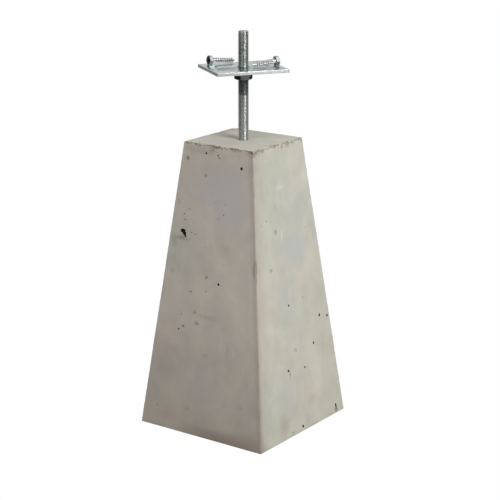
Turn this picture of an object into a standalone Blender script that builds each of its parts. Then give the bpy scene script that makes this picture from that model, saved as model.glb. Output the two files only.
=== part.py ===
"""Concrete pier block with a threaded rod, a levelling nut, a bearing plate and two lag screws.

Metres, +Z up. The origin is the centre of the block's underside. The block's -Y face is called its
front and its +X face its right side. Each face of the block leans in by the same batter.
"""
import math

import bmesh
import bpy
from mathutils import Matrix, Vector

MM = 0.001
GAP = 0.3 * MM

# Concrete block
BLOCK_BASE = 225 * MM
BLOCK_TOP = 125 * MM
BLOCK_HEIGHT = 435 * MM
ARRIS_RADIUS = 2 * MM
ARRIS_STEPS = 2

# Threaded rod, M16 coarse
ROD_DIAMETER = 16 * MM
ROD_PITCH = 2 * MM
ROD_ABOVE_BLOCK = 160 * MM
ROD_IN_BLOCK = 90 * MM
ROD_THREAD_BELOW_TOP = 3 * MM
ROD_SIDES = 12
THREAD_DEPTH_PER_PITCH = 0.6134

# Levelling nut
NUT_ACROSS_FLATS = 24 * MM
NUT_HEIGHT = 13 * MM
NUT_ABOVE_BLOCK = 89.2 * MM
NUT_TURN = math.radians(19.7)
NUT_COUNTERSINK = 0.7 * MM
NUT_BORE_CLEARANCE = GAP
CHAMFER_FACE_SHARE = 0.95
CHAMFER_ANGLE = math.radians(30)

# Bearing plate
PLATE_LENGTH = 110 * MM
PLATE_WIDTH = 90 * MM
PLATE_THICKNESS = 5 * MM
PLATE_TURN = math.radians(55.4)
PLATE_EDGE = 0.4 * MM
PLATE_ROD_CLEARANCE = 1 * MM
SCREW_HOLE_CLEARANCE = 0.5 * MM
SCREW_HOLE_FROM_END = 19 * MM
HOLE_SIDES = 32

# Lag screws
SCREW_DIAMETER = 8 * MM
SCREW_ROOT_DIAMETER = 5.6 * MM
SCREW_PITCH = 3.6 * MM
SCREW_LENGTH = 38 * MM
SCREW_THREAD_LENGTH = 27 * MM
SCREW_POINT_LENGTH = 8 * MM
SCREW_POINT_RADIUS = 0.4 * MM
SCREW_HEAD_ACROSS_FLATS = 13 * MM
SCREW_HEAD_HEIGHT = 5.5 * MM
SCREW_SIDES = 12

# Where the screws lie on the plate: the middle of the head's underside, from the plate's nearer end
# and from the side given. The turn is the way the point looks, from the plate's length.
LEFT_SCREW_FROM_END = 16.6 * MM
LEFT_SCREW_FROM_FAR_SIDE = 14 * MM
LEFT_SCREW_TURN = math.radians(7.3)
RIGHT_SCREW_FROM_END = 8.6 * MM
RIGHT_SCREW_FROM_NEAR_SIDE = 37.8 * MM
RIGHT_SCREW_TURN = math.radians(188.3)

# Voids and chips, by face: share of the half width across, share of the height up, then the width,
# height and depth of the hollow in millimetres. Across runs to the right as one looks at the face.
FRONT_VOIDS = (
    (-0.67, 0.694, 8.0, 9.0, 5.0),
    (0.67, 0.938, 4.0, 4.5, 3.5),
    (-0.81, 0.945, 5.0, 5.0, 3.0),
    (0.20, 0.540, 5.0, 5.0, 3.5),
    (-0.54, 0.359, 5.0, 4.5, 2.5),
    (-0.16, 1.000, 13.0, 6.0, 3.0),
)
RIGHT_VOIDS = (
    (-0.34, 0.714, 5.0, 9.0, 3.0),
    (-0.25, 0.235, 6.0, 7.0, 3.0),
    (0.37, 1.000, 9.0, 7.0, 3.0),
    (0.81, 0.014, 9.0, 11.0, 4.0),
    (-0.01, 0.014, 5.0, 5.0, 3.0),
)
BACK_VOIDS = (
    (0.30, 0.620, 5.0, 6.0, 3.0),
    (-0.45, 0.280, 6.0, 6.0, 3.5),
    (0.55, 0.000, 16.0, 7.0, 4.0),
)
LEFT_VOIDS = (
    (-0.20, 0.480, 6.0, 5.0, 3.0),
    (0.40, 0.860, 5.0, 5.0, 3.0),
    (-0.35, 1.000, 11.0, 6.0, 3.0),
)
# The front corner's worn stretch: share of the height, and the hollow's width, height and depth.
CORNER_CHIP = (0.614, 7.0, 24.0, 2.5)

# Colours, roughness and metallic value
CONCRETE = ((0.35, 0.33, 0.29), 0.9, 0.0)
ROD_ZINC = ((0.36, 0.37, 0.36), 0.42, 1.0)
PLATE_ZINC = ((0.62, 0.65, 0.66), 0.28, 1.0)
SCREW_ZINC = ((0.60, 0.62, 0.63), 0.30, 1.0)


def material(name, finish):
    """A Principled material of one colour."""
    colour, roughness, metallic = finish
    made = bpy.data.materials.get(name) or bpy.data.materials.new(name)
    made.use_nodes = True
    shader = made.node_tree.nodes["Principled BSDF"]
    shader.inputs["Base Color"].default_value = (*colour, 1.0)
    shader.inputs["Roughness"].default_value = roughness
    shader.inputs["Metallic"].default_value = metallic
    return made


def add_object(name, bm, finish_material=None):
    """An object made from a bmesh, which it uses up."""
    bmesh.ops.recalc_face_normals(bm, faces=bm.faces)
    mesh = bpy.data.meshes.new(name)
    bm.to_mesh(mesh)
    bm.free()
    if finish_material:
        mesh.materials.append(finish_material)
    made = bpy.data.objects.new(name, mesh)
    bpy.context.scene.collection.objects.link(made)
    return made


def add_cutter(name, bm):
    """A helper solid for a Boolean, which isn't part of the object."""
    cutter = add_object(name, bm)
    cutter.hide_render = True
    cutter.display_type = "WIRE"
    return cutter


def boolean(target, operation, cutter):
    """Adds an exact Boolean to a piece."""
    step = target.modifiers.new(cutter.name, "BOOLEAN")
    step.operation = operation
    step.solver = "EXACT"
    step.object = cutter


def evaluated_mesh(made, name):
    """The mesh that an object's modifiers give."""
    graph = bpy.context.evaluated_depsgraph_get()
    mesh = bpy.data.meshes.new_from_object(made.evaluated_get(graph))
    mesh.name = name
    return mesh


def prism(outline, low, high):
    """A straight solid between two heights, from an outline of (x, y) points."""
    bm = bmesh.new()
    bottom = [bm.verts.new((x, y, low)) for x, y in outline]
    top = [bm.verts.new((x, y, high)) for x, y in outline]
    bm.faces.new(reversed(bottom))
    bm.faces.new(top)
    for index in range(len(outline)):
        after = (index + 1) % len(outline)
        bm.faces.new((bottom[index], bottom[after], top[after], top[index]))
    return bm


def polygon(sides, radius, turn=0.0):
    """The corners of a regular polygon about the axis."""
    angles = [turn + 2 * math.pi * index / sides for index in range(sides)]
    return [(radius * math.cos(angle), radius * math.sin(angle)) for angle in angles]


def hexagon(across_flats, turn=0.0):
    """A hexagon whose first flat faces the given direction."""
    return polygon(6, across_flats / math.sqrt(3), turn + math.radians(30))


def turned(profile, sides):
    """A solid turned about Z. The profile's (radius, height) points run upwards from axis to axis."""
    bm = bmesh.new()
    foot = bm.verts.new((0, 0, profile[0][1]))
    head = bm.verts.new((0, 0, profile[-1][1]))
    rings = [
        [bm.verts.new((x, y, height)) for x, y in polygon(sides, radius)]
        for radius, height in profile[1:-1]
    ]
    for side in range(sides):
        after = (side + 1) % sides
        bm.faces.new((foot, rings[0][after], rings[0][side]))
        bm.faces.new((head, rings[-1][side], rings[-1][after]))
        for low, high in zip(rings, rings[1:]):
            bm.faces.new((low[side], low[after], high[after], high[side]))
    return bm


def cap_open_ends(bm):
    """Closes the flat openings left by a cut."""
    edges = [edge for edge in bm.edges if edge.is_boundary]
    return bmesh.ops.holes_fill(bm, edges=edges, sides=0)["faces"]


def trim(bm, height, normal_z):
    """Cuts a solid off square at a height, and removes what lies on the normal's side."""
    everything = bm.verts[:] + bm.edges[:] + bm.faces[:]
    bmesh.ops.bisect_plane(
        bm,
        geom=everything,
        dist=0.01 * MM,
        plane_co=(0, 0, height),
        plane_no=(0, 0, normal_z),
        clear_outer=True,
    )


def helical_bar(length, pitch, sides, radius_at):
    """A right-hand threaded bar up +Z from 0 to its length, with both ends cut square.

    Rows of points climb by one pitch in each turn. Odd rows are crests and even rows are roots, and
    radius_at(height, is_crest) gives their radius.
    """
    bm = bmesh.new()
    row_count = math.ceil(2 * length / pitch) + 7
    rows = []
    for row in range(row_count):
        points = []
        for x, y in polygon(sides, 1.0):
            height = pitch * (row / 2 + len(points) / sides - 2)
            radius = radius_at(height, row % 2 == 1)
            points.append(bm.verts.new((radius * x, radius * y, height)))
        rows.append(points)
    for row in range(row_count - 3):
        for side in range(sides):
            last = side == sides - 1
            low_next = rows[row + 2][0] if last else rows[row][side + 1]
            high_next = rows[row + 3][0] if last else rows[row + 1][side + 1]
            bm.faces.new((rows[row][side], low_next, high_next, rows[row + 1][side]))
    trim(bm, 0.0, -1)
    trim(bm, length, 1)
    loose = [vert for vert in bm.verts if not vert.link_faces]
    bmesh.ops.delete(bm, geom=loose, context="VERTS")
    cap_open_ends(bm)
    return bm


def chamfered_hexagon(name, across_flats, height, turn, chamfer_bottom, finish):
    """A hexagonal piece standing on Z = 0, with the round 30 degree chamfer of a nut or bolt head."""
    reach = across_flats / math.sqrt(3) + MM
    face_radius = CHAMFER_FACE_SHARE * across_flats / 2
    rise = (reach - face_radius) * math.tan(CHAMFER_ANGLE)
    lower = [(face_radius, 0), (reach, rise)] if chamfer_bottom else [(reach, 0)]
    profile = [(0, 0), *lower, (reach, height - rise), (face_radius, height), (0, height)]
    blank = add_object(name, prism(hexagon(across_flats, turn), -MM, height + MM), finish)
    boolean(blank, "INTERSECT", add_cutter(name + "_chamfer", turned(profile, 48)))
    return blank


def half_width(height):
    """Half the block's width at a height."""
    return (BLOCK_BASE + (BLOCK_TOP - BLOCK_BASE) * height / BLOCK_HEIGHT) / 2


def face_place(face_turn, across_share, height_share):
    """The matrix of a point on a block face: X across it, Y out of it and Z up it."""
    height = height_share * BLOCK_HEIGHT
    half = half_width(height)
    batter = math.atan((BLOCK_BASE - BLOCK_TOP) / 2 / BLOCK_HEIGHT)
    at = Matrix.Translation((across_share * half, -half, height))
    return Matrix.Rotation(face_turn, 4, "Z") @ at @ Matrix.Rotation(-batter, 4, "X")


def corner_place(height_share):
    """The matrix of a point on the block's front right arris, with Y out along the diagonal."""
    height = height_share * BLOCK_HEIGHT
    half = half_width(height)
    lean = math.atan((BLOCK_BASE - BLOCK_TOP) / 2 * math.sqrt(2) / BLOCK_HEIGHT)
    at = Matrix.Translation((half, -half, height))
    return at @ Matrix.Rotation(math.radians(45), 4, "Z") @ Matrix.Rotation(-lean, 4, "X")


def add_hollow(bm, place, width, height, depth):
    """Adds one egg-shaped cutter, whose middle lies on the face."""
    size = Matrix.Diagonal((width / 2 * MM, depth * MM, height / 2 * MM, 1))
    bmesh.ops.create_icosphere(bm, subdivisions=2, radius=1.0, matrix=place @ size)


def block_hollows():
    """The casting voids, the edge chips and the worn stretch of the front corner."""
    bm = bmesh.new()
    for quarter, voids in enumerate((FRONT_VOIDS, RIGHT_VOIDS, BACK_VOIDS, LEFT_VOIDS)):
        for across, up, width, height, depth in voids:
            place = face_place(quarter * math.pi / 2, across, up)
            add_hollow(bm, place, width, height, depth)
    up, width, height, depth = CORNER_CHIP
    add_hollow(bm, corner_place(up), width, height, depth)
    return add_cutter("block_hollows", bm)


def concrete_block(finish):
    """The battered block, with softened arrises, the rod's socket and its voids."""
    bm = bmesh.new()
    levels = ((BLOCK_BASE / 2, 0.0), (BLOCK_TOP / 2, BLOCK_HEIGHT))
    low, high = (
        [bm.verts.new((x * half, y * half, z)) for x, y in ((-1, -1), (1, -1), (1, 1), (-1, 1))]
        for half, z in levels
    )
    bm.faces.new(reversed(low))
    bm.faces.new(high)
    for side in range(4):
        after = (side + 1) % 4
        bm.faces.new((low[side], low[after], high[after], high[side]))
    soft = [edge for edge in bm.edges if max(vert.co.z for vert in edge.verts) > 0]
    bmesh.ops.bevel(
        bm, geom=soft, offset=ARRIS_RADIUS, segments=ARRIS_STEPS, profile=0.5, affect="EDGES"
    )
    block = add_object("concrete_block", bm, finish)
    socket = prism(
        polygon(HOLE_SIDES, ROD_DIAMETER / 2 + GAP),
        BLOCK_HEIGHT - ROD_IN_BLOCK - GAP,
        BLOCK_HEIGHT + 10 * MM,
    )
    boolean(block, "DIFFERENCE", add_cutter("rod_socket", socket))
    boolean(block, "DIFFERENCE", block_hollows())
    return block


def threaded_rod(finish):
    """The rod, threaded above the block and plain in its socket, with a chamfered upper end."""
    crest = ROD_DIAMETER / 2
    root = crest - THREAD_DEPTH_PER_PITCH * ROD_PITCH
    length = ROD_ABOVE_BLOCK + ROD_THREAD_BELOW_TOP

    def radius_at(height, is_crest):
        chamfer = root + max(length - height, 0)
        return min(crest if is_crest else root, chamfer)

    bm = helical_bar(length, ROD_PITCH, ROD_SIDES, radius_at)
    foot = [face for face in bm.faces if face.calc_center_median().z < 0.01 * MM]
    grown = bmesh.ops.extrude_face_region(bm, geom=foot)["geom"]
    bmesh.ops.delete(bm, geom=foot, context="FACES_ONLY")
    moved = [part for part in grown if isinstance(part, bmesh.types.BMVert)]
    bmesh.ops.translate(bm, verts=moved, vec=(0, 0, ROD_THREAD_BELOW_TOP - ROD_IN_BLOCK))
    rod = add_object("threaded_rod", bm, finish)
    rod.location.z = BLOCK_HEIGHT - ROD_THREAD_BELOW_TOP
    return rod


def levelling_nut(parent, finish):
    """The hexagon nut that carries the plate. Its bore runs clear over the rod's crests."""
    nut = chamfered_hexagon(
        "levelling_nut", NUT_ACROSS_FLATS, NUT_HEIGHT, NUT_TURN, True, finish
    )
    bore = ROD_DIAMETER / 2 + NUT_BORE_CLEARANCE
    mouth = bore + NUT_COUNTERSINK
    profile = [
        (0, -MM),
        (mouth + MM, -MM),
        (bore, NUT_COUNTERSINK),
        (bore, NUT_HEIGHT - NUT_COUNTERSINK),
        (mouth + MM, NUT_HEIGHT + MM),
        (0, NUT_HEIGHT + MM),
    ]
    boolean(nut, "DIFFERENCE", add_cutter("nut_bore", turned(profile, HOLE_SIDES)))
    mesh = evaluated_mesh(nut, "levelling_nut")
    nut.modifiers.clear()
    nut.data = mesh
    nut.parent = parent
    return nut


def bearing_plate(parent, finish):
    """The flat plate, with the rod's hole in its middle and a screw hole near each end."""
    half_length = PLATE_LENGTH / 2
    half_width_across = PLATE_WIDTH / 2
    corners = [
        (x * half_length, y * half_width_across) for x, y in ((-1, -1), (1, -1), (1, 1), (-1, 1))
    ]
    bm = prism(corners, 0, PLATE_THICKNESS)
    bmesh.ops.bevel(
        bm, geom=bm.edges[:], offset=PLATE_EDGE, segments=1, profile=0.5, affect="EDGES"
    )
    plate = add_object("bearing_plate", bm, finish)
    screw_hole_place = half_length - SCREW_HOLE_FROM_END
    screw_hole_radius = SCREW_DIAMETER / 2 + SCREW_HOLE_CLEARANCE
    holes = (
        ("rod_hole", 0, ROD_DIAMETER / 2 + PLATE_ROD_CLEARANCE),
        ("left_screw_hole", -screw_hole_place, screw_hole_radius),
        ("right_screw_hole", screw_hole_place, screw_hole_radius),
    )
    for name, along, radius in holes:
        outline = [(x + along, y) for x, y in polygon(HOLE_SIDES, radius)]
        boolean(plate, "DIFFERENCE", add_cutter(name, prism(outline, -MM, PLATE_THICKNESS + MM)))
    mesh = evaluated_mesh(plate, "bearing_plate")
    plate.modifiers.clear()
    plate.data = mesh
    plate.parent = parent
    return plate


def lag_screw_mesh(finish):
    """One lag screw along +X, with its head's underside at 0 and two of the head's flats level."""
    crest = SCREW_DIAMETER / 2
    root = SCREW_ROOT_DIAMETER / 2
    thread_start = SCREW_LENGTH - SCREW_THREAD_LENGTH
    point_start = SCREW_LENGTH - SCREW_POINT_LENGTH
    overlap = SCREW_HEAD_HEIGHT / 2

    def radius_at(height, is_crest):
        along = height - overlap
        full = crest if is_crest or along < thread_start else root
        left = min(max((SCREW_LENGTH - along) / (SCREW_LENGTH - point_start), 0), 1)
        return SCREW_POINT_RADIUS + (full - SCREW_POINT_RADIUS) * left

    shank = helical_bar(SCREW_LENGTH + overlap, SCREW_PITCH, SCREW_SIDES, radius_at)
    bmesh.ops.translate(shank, verts=shank.verts, vec=(0, 0, -overlap))
    head = chamfered_hexagon(
        "lag_screw_head", SCREW_HEAD_ACROSS_FLATS, SCREW_HEAD_HEIGHT, 0.0, False, finish
    )
    head.rotation_euler.x = math.pi
    boolean(head, "UNION", add_cutter("lag_screw_shank", shank))
    bpy.context.view_layer.update()
    mesh = evaluated_mesh(head, "lag_screw")
    mesh.transform(Matrix.Rotation(math.radians(90), 4, "Y") @ head.matrix_world)
    bpy.data.objects.remove(head)
    return mesh


def lay_screw(name, mesh, parent, along, across, turn):
    """Lays a screw on the plate, resting on one flat of its head and on its last full crest."""
    head_radius = SCREW_HEAD_ACROSS_FLATS / 2
    run = SCREW_LENGTH - SCREW_POINT_LENGTH
    tilt = math.atan((head_radius - SCREW_DIAMETER / 2) / run)
    screw = bpy.data.objects.new(name, mesh)
    bpy.context.scene.collection.objects.link(screw)
    height = PLATE_THICKNESS + GAP + head_radius * math.cos(tilt)
    screw.location = Vector((along, across, height))
    screw.rotation_euler = (0, tilt, turn)
    screw.parent = parent
    return screw


def add_empty(name, height, parent=None, turn=0.0):
    """An empty on the rod's axis, which carries the pieces that belong together."""
    made = bpy.data.objects.new(name, None)
    bpy.context.scene.collection.objects.link(made)
    made.location.z = height
    made.rotation_euler.z = turn
    made.parent = parent
    return made


def shade(made):
    """Smooth shading on round faces, with the edges of flat ones kept sharp."""
    made.data.shade_smooth()
    made.data.set_sharp_from_angle(angle=math.radians(35))


def main():
    for old in list(bpy.data.objects):
        bpy.data.objects.remove(old)
    concrete = material("concrete", CONCRETE)
    rod_zinc = material("rod_zinc", ROD_ZINC)
    plate_zinc = material("plate_zinc", PLATE_ZINC)
    screw_zinc = material("screw_zinc", SCREW_ZINC)

    height_slide = add_empty("height_slide", BLOCK_HEIGHT + NUT_ABOVE_BLOCK)
    plate_seat = add_empty("plate_seat", NUT_HEIGHT + GAP, height_slide, PLATE_TURN)

    concrete_block(concrete)
    rod = threaded_rod(rod_zinc)
    nut = levelling_nut(height_slide, rod_zinc)
    plate = bearing_plate(plate_seat, plate_zinc)
    screw_mesh = lag_screw_mesh(screw_zinc)
    left_screw = lay_screw(
        "lag_screw_left",
        screw_mesh,
        plate_seat,
        LEFT_SCREW_FROM_END - PLATE_LENGTH / 2,
        PLATE_WIDTH / 2 - LEFT_SCREW_FROM_FAR_SIDE,
        LEFT_SCREW_TURN,
    )
    lay_screw(
        "lag_screw_right",
        screw_mesh,
        plate_seat,
        PLATE_LENGTH / 2 - RIGHT_SCREW_FROM_END,
        RIGHT_SCREW_FROM_NEAR_SIDE - PLATE_WIDTH / 2,
        RIGHT_SCREW_TURN,
    )
    for made in (rod, nut, plate, left_screw):
        shade(made)


main()
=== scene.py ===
"""Looks of the concrete pier block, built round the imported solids.

Metres, +Z up, the origin at the centre of the block's underside. The block's -Y face is its front
and its +X face its right side, as in the part.
"""
import math
import random

import bmesh
import bpy
from mathutils import Matrix, Vector


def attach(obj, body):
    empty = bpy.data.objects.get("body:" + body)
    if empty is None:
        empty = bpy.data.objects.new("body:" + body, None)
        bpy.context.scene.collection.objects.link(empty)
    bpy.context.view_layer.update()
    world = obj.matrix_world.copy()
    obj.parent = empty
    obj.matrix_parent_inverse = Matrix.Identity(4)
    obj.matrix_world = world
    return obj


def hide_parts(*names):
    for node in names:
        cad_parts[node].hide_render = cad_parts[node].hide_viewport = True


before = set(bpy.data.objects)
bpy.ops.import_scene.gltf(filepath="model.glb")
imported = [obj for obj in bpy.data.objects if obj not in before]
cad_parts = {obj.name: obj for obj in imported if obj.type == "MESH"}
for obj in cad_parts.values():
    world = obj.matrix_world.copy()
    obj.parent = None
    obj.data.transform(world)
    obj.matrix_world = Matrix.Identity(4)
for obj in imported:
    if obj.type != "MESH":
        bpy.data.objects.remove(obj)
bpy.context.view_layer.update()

MM = 0.001
GAP = 0.3 * MM

# Sizes of the part's solids, which the finer pieces keep to
BLOCK_BASE = 225 * MM
BLOCK_TOP = 125 * MM
BLOCK_HEIGHT = 435 * MM
ROD_DIAMETER = 16 * MM
ROD_PITCH = 2 * MM
ROD_ROOT = 13.55 * MM
ROD_TOP = 595 * MM
ROD_FOOT = 345 * MM
NUT_ACROSS_FLATS = 24 * MM
NUT_HEIGHT = 13 * MM
NUT_FOOT = 524.2 * MM
NUT_TURN = math.radians(19.7)
NUT_COUNTERSINK = 0.7 * MM
PLATE_LENGTH = 110 * MM
PLATE_WIDTH = 90 * MM
PLATE_THICKNESS = 5 * MM
PLATE_FOOT = 537.5 * MM
PLATE_TURN = math.radians(55.4)
ROD_HOLE = 18 * MM
SCREW_HOLE = 9 * MM
SCREW_HOLE_ALONG = 36 * MM
SCREW_DIAMETER = 8 * MM
SCREW_ROOT = 4.9 * MM
SCREW_PITCH = 3.6 * MM
SCREW_LENGTH = 38 * MM
SCREW_PLAIN = 2.5 * MM
SCREW_POINT = 4.5 * MM
SCREW_TIP = 0.4 * MM
HEAD_ACROSS_FLATS = 13 * MM
HEAD_HEIGHT = 5.5 * MM
CHAMFER_FACE_SHARE = 0.95
CHAMFER_SLOPE = math.tan(math.radians(30))
# Head's underside in the plate's frame, and the way the point looks
LEFT_SCREW = (-38.4 * MM, 31.0 * MM, math.radians(7.3))
RIGHT_SCREW = (46.4 * MM, -7.2 * MM, math.radians(188.3))

# Finer form of the block
ARRIS_RADIUS = 1.4 * MM
FOOT_RADIUS = 1 * MM
BLOCK_COLUMNS = 48
BLOCK_ROWS = 112
ARRIS_STEPS = 4
FOOT_STEPS = 2
UNEVENNESS = 0.5 * MM
SOCKET_LENGTH = 100 * MM
SOCKET_SIDES = 64

# Finer form of the steel pieces
ROD_SIDES = 48
ROD_ROWS_PER_TURN = 8
ROD_GROOVE_MARGIN = 0.3 * MM
ROD_END_CHAMFER = 1 * MM
SCREW_SIDES = 40
SCREW_ROWS_PER_TURN = 16
SCREW_GROOVE_MARGIN = 0.4 * MM
NUT_COLUMNS = 96
HEAD_COLUMNS = 72
PLATE_EDGE_RADIUS = 0.5 * MM
PLATE_EDGE_STEPS = 2
PLATE_CORNER_RADIUS = 0.8 * MM
PLATE_CORNER_STEPS = 4
HOLE_SIDES = 64
# A face belongs to the plate's edge if its normal's rise is under the first of these, and to the
# end of a screw's head if its normal points back by more than the second
EDGE_SLOPE = 0.5
END_SLOPE = 0.98
# Points nearer to each other than this are one
WELD_DISTANCE = 0.001 * MM
# Edges sharper than this, in degrees, stay sharp in the shading
BLOCK_SHARP = 32
NUT_SHARP = 22
ROD_SHARP = 70
PLATE_SHARP = 40
SCREW_SHARP = 40

# Camera, as fitted to the corners of the block, the plate and the rod
CAMERA_PLACE = Vector((1.3620, -1.8784, 0.9222))
CAMERA_TURN = math.radians(35.705)
CAMERA_PITCH = math.radians(-15.814)
LENS = 115.53
SENSOR_WIDTH = 36


# Node helpers
FLOAT = "NodeSocketFloat"
INT = "NodeSocketInt"
COLOR = "NodeSocketColor"
VECTOR = "NodeSocketVector"
MATERIAL = "NodeSocketMaterial"


class Wire:
    """A value in a node tree, which takes part in sums as a number does."""

    def __init__(self, tree, socket):
        self.tree = tree
        self.socket = socket

    def math(self, operation, *others, clamp=False):
        values = dict(enumerate([self, *others]))
        node = add_node(self.tree, "ShaderNodeMath", values, operation=operation, use_clamp=clamp)
        return Wire(self.tree, node.outputs[0])

    def __add__(self, other):
        return self.math("ADD", other)

    def __sub__(self, other):
        return self.math("SUBTRACT", other)

    def __mul__(self, other):
        return self.math("MULTIPLY", other)

    def __truediv__(self, other):
        return self.math("DIVIDE", other)

    def after(self, number, operation):
        """A sum whose first part is a number and whose second is this value."""
        node = add_node(self.tree, "ShaderNodeMath", {0: number, 1: self}, operation=operation)
        return Wire(self.tree, node.outputs[0])

    def __rsub__(self, other):
        return self.after(other, "SUBTRACT")

    def __rtruediv__(self, other):
        return self.after(other, "DIVIDE")

    def __neg__(self):
        return self.math("MULTIPLY", -1.0)

    def __abs__(self):
        return self.math("ABSOLUTE")

    def at_least(self, other):
        return self.math("MAXIMUM", other)

    def at_most(self, other):
        return self.math("MINIMUM", other)

    def ramp(self, low, high, to_low=0.0, to_high=1.0, smooth=False):
        """The value taken from one range to another, and held at its ends."""
        kind = "SMOOTHSTEP" if smooth else "LINEAR"
        values = {0: self, 1: low, 2: high, 3: to_low, 4: to_high}
        node = add_node(self.tree, "ShaderNodeMapRange", values, interpolation_type=kind)
        return Wire(self.tree, node.outputs[0])

    def split(self):
        """The three parts of a vector."""
        node = add_node(self.tree, "ShaderNodeSeparateXYZ", {0: self})
        return [Wire(self.tree, socket) for socket in node.outputs]

    def vector_math(self, operation, other=None, output=0):
        """A sum of vectors. Output 1 gives the single value of a length or a dot product."""
        values = {0: self} if other is None else {0: self, 1: other}
        node = add_node(self.tree, "ShaderNodeVectorMath", values, operation=operation)
        return Wire(self.tree, node.outputs[output])

    def scaled(self, *factors):
        """A vector with each of its parts multiplied."""
        return self.vector_math("MULTIPLY", factors)

    def shifted(self, offset):
        """A vector with another added."""
        return self.vector_math("ADD", offset)

    def multiplied(self, factor):
        """A vector or a colour multiplied by one value."""
        node = add_node(self.tree, "ShaderNodeVectorMath", {0: self, 3: factor}, operation="SCALE")
        return Wire(self.tree, node.outputs[0])


def feed(tree, socket, value):
    """Gives an input its value, or links it."""
    if isinstance(value, Wire):
        tree.links.new(value.socket, socket)
    elif isinstance(value, bpy.types.Node):
        tree.links.new(value.outputs[0], socket)
    else:
        socket.default_value = value


def add_node(tree, kind, values=None, **settings):
    """A new node, with its options set and its inputs fed, by name or by number."""
    node = tree.nodes.new(kind)
    for name, value in settings.items():
        setattr(node, name, value)
    for key, value in (values or {}).items():
        feed(tree, node.inputs[key], value)
    return node


def wire(tree, node, output=0):
    return Wire(tree, node.outputs[output])


def vector(tree, x, y, z):
    """A vector from three values."""
    return wire(tree, add_node(tree, "ShaderNodeCombineXYZ", {0: x, 1: y, 2: z}))


def noise(tree, place, scale, detail=2.0, roughness=0.5, distortion=0.0):
    """A cloudy pattern about 0.5, at a scale in waves to the metre."""
    values = {
        "Vector": place,
        "Scale": scale,
        "Detail": detail,
        "Roughness": roughness,
        "Distortion": distortion,
    }
    return wire(tree, add_node(tree, "ShaderNodeTexNoise", values))


def mixed(tree, share, first, second, blend="MIX"):
    """A colour between two, or a second colour laid over the first by a mask."""
    values = {0: share, 6: first, 7: second}
    node = add_node(tree, "ShaderNodeMix", values, data_type="RGBA", blend_type=blend)
    return wire(tree, node, 2)


def rgb(red, green, blue):
    return (red, green, blue, 1.0)


# Geometry trees


def geometry_tree(name, inputs):
    """An empty tree of Geometry Nodes with named inputs, its input wires and its output node."""
    tree = bpy.data.node_groups.new(name, "GeometryNodeTree")
    tree.interface.new_socket("Geometry", in_out="INPUT", socket_type="NodeSocketGeometry")
    for socket_name, kind in inputs:
        tree.interface.new_socket(socket_name, in_out="INPUT", socket_type=kind)
    tree.interface.new_socket("Geometry", in_out="OUTPUT", socket_type="NodeSocketGeometry")
    source = add_node(tree, "NodeGroupInput")
    wires = {socket.name: Wire(tree, socket) for socket in source.outputs if socket.name}
    return tree, wires, add_node(tree, "NodeGroupOutput")


def finish_tree(tree, geometry, material, output):
    """Ends a tree in Realize Instances and Set Material."""
    real = add_node(tree, "GeometryNodeRealizeInstances", {0: geometry})
    painted = add_node(tree, "GeometryNodeSetMaterial", {"Geometry": real, "Material": material})
    feed(tree, output.inputs[0], painted)


def tree_piece(name, tree, values, start=None):
    """The plain mesh object that a tree gives with these inputs, from a start mesh or none."""
    made = link(name, start or bpy.data.meshes.new(name))
    modifier = made.modifiers.new(tree.name, "NODES")
    modifier.node_group = tree
    for item in tree.interface.items_tree:
        if item.in_out == "INPUT" and item.name in values:
            modifier[item.identifier] = values[item.name]
    return settled(made)


def link(name, mesh):
    made = bpy.data.objects.new(name, mesh)
    bpy.context.scene.collection.objects.link(made)
    return made


def settled_mesh(made):
    """The plain mesh that an object gives."""
    graph = bpy.context.evaluated_depsgraph_get()
    graph.update()
    return bpy.data.meshes.new_from_object(made.evaluated_get(graph))


def settled(made):
    """An object whose modifiers are turned into its own plain mesh."""
    mesh = settled_mesh(made)
    made.modifiers.clear()
    made.data = mesh
    for slot in reversed(range(len(mesh.materials))):
        if mesh.materials[slot] is None:
            mesh.materials.pop(index=slot)
    return made


def placed(made, matrix):
    """Moves a piece by moving its mesh, so that its object stays at the origin."""
    made.data.transform(matrix)
    return made


def smooth(made, angle):
    """Smooth shading, with edges past an angle kept sharp."""
    made.data.shade_smooth()
    made.data.set_sharp_from_angle(angle=math.radians(angle))


def position(tree):
    return wire(tree, add_node(tree, "GeometryNodeInputPosition"))


def moved(tree, geometry, place):
    """Geometry with every point set to a place."""
    return wire(
        tree, add_node(tree, "GeometryNodeSetPosition", {"Geometry": geometry, "Position": place})
    )


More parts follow.
